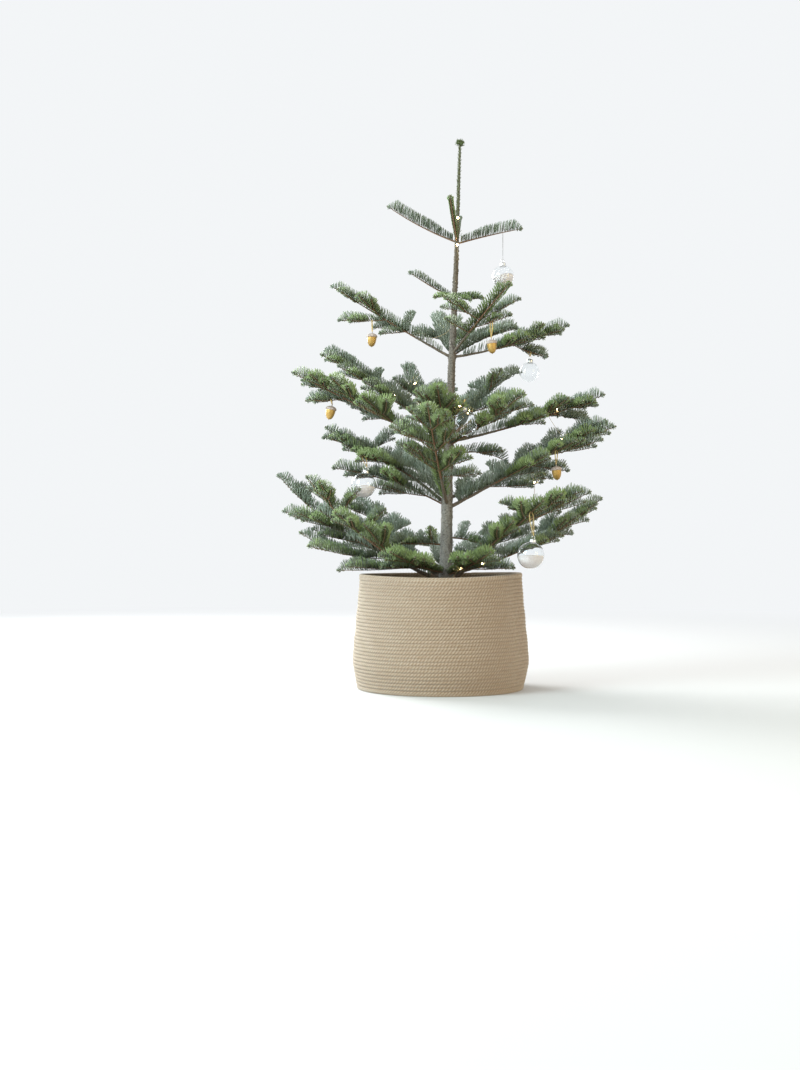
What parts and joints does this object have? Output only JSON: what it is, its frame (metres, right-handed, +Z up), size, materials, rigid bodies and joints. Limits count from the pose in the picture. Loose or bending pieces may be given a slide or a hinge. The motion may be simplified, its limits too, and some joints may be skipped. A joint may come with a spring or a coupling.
{
  "type": "potted christmas tree",
  "caption": "Young fir tree with whorled boughs of upswept needles, standing in a soft basket of coiled rope.",
  "frame": {"origin": "centre of the basket's flat underside", "axes": "+Z up along the tree, +X to the right and +Y to the back, seen from the tree's front"},
  "size_m": [0.7049, 0.5906, 1.1533],
  "materials": {
    "rope": "twisted jute rope, matt",
    "soil": "moist potting mix with bark chips",
    "bark": "smooth grey young bark",
    "bough_bark": "thin brown bark with leaf scars",
    "foliage": "waxy needles",
    "ornament_glass": "clear blown glass",
    "ornament_filling": "fine white filling",
    "ornament_metal": "thin bright metal",
    "acorn_glitter": "gold glitter",
    "acorn_cap": "scaly matt cap",
    "ribbon": "gold thread",
    "light_wire": "fine varnished wire",
    "light_bead": "clear bead, lit warm white"
  },
  "bodies": {
    "root": {"basket": "rope", "potting_soil": "soil", "trunk": "bark", "sprays_tip": "foliage", "sprays_top_left": "foliage", "sprays_top_right": "foliage", "sprays_top_front": "foliage", "sprays_top_back": "foliage", "sprays_upper_twig_left": "foliage", "bough_upper_left": "bough_bark", "sprays_upper_left": "foliage", "bough_upper_right": "bough_bark", "sprays_upper_right": "foliage", "bough_upper_front": "bough_bark", "sprays_upper_front": "foliage", "sprays_upper_back": "foliage", "sprays_upper_back_right": "foliage", "bough_middle_left_back": "bough_bark", "sprays_middle_left_back": "foliage", "bough_middle_left_front": "bough_bark", "sprays_middle_left_front": "foliage", "bough_middle_right": "bough_bark", "sprays_middle_right": "foliage", "bough_middle_right_back": "bough_bark", "sprays_middle_right_back": "foliage", "sprays_middle_right_front": "foliage", "bough_middle_back": "bough_bark", "sprays_middle_back": "foliage", "sprays_middle_front": "foliage", "sprays_middle_twig_right": "foliage", "bough_low_left": "bough_bark", "sprays_low_left": "foliage", "sprays_low_left_front": "foliage", "bough_low_front": "bough_bark", "sprays_low_front": "foliage", "bough_low_right": "bough_bark", "sprays_low_right": "foliage", "bough_low_right_back": "bough_bark", "sprays_low_right_back": "foliage", "bough_low_back": "bough_bark", "sprays_low_back": "foliage", "sprays_lower_twig_left": "foliage", "sprays_lower_twig_right": "foliage", "bough_foot_left_front": "bough_bark", "sprays_foot_left_front": "foliage", "bough_foot_left_back": "bough_bark", "sprays_foot_left_back": "foliage", "bough_foot_right_front": "bough_bark", "sprays_foot_right_front": "foliage", "bough_foot_right_back": "bough_bark", "sprays_foot_right_back": "foliage", "bough_foot_back_right": "bough_bark", "sprays_foot_back_right": "foliage", "bough_foot_back": "bough_bark", "sprays_foot_back": "foliage", "bough_foot_back_left": "bough_bark", "sprays_foot_back_left": "foliage", "sprays_foot_front_left": "foliage", "sprays_foot_front_right": "foliage"}
  },
  "joints": []
}
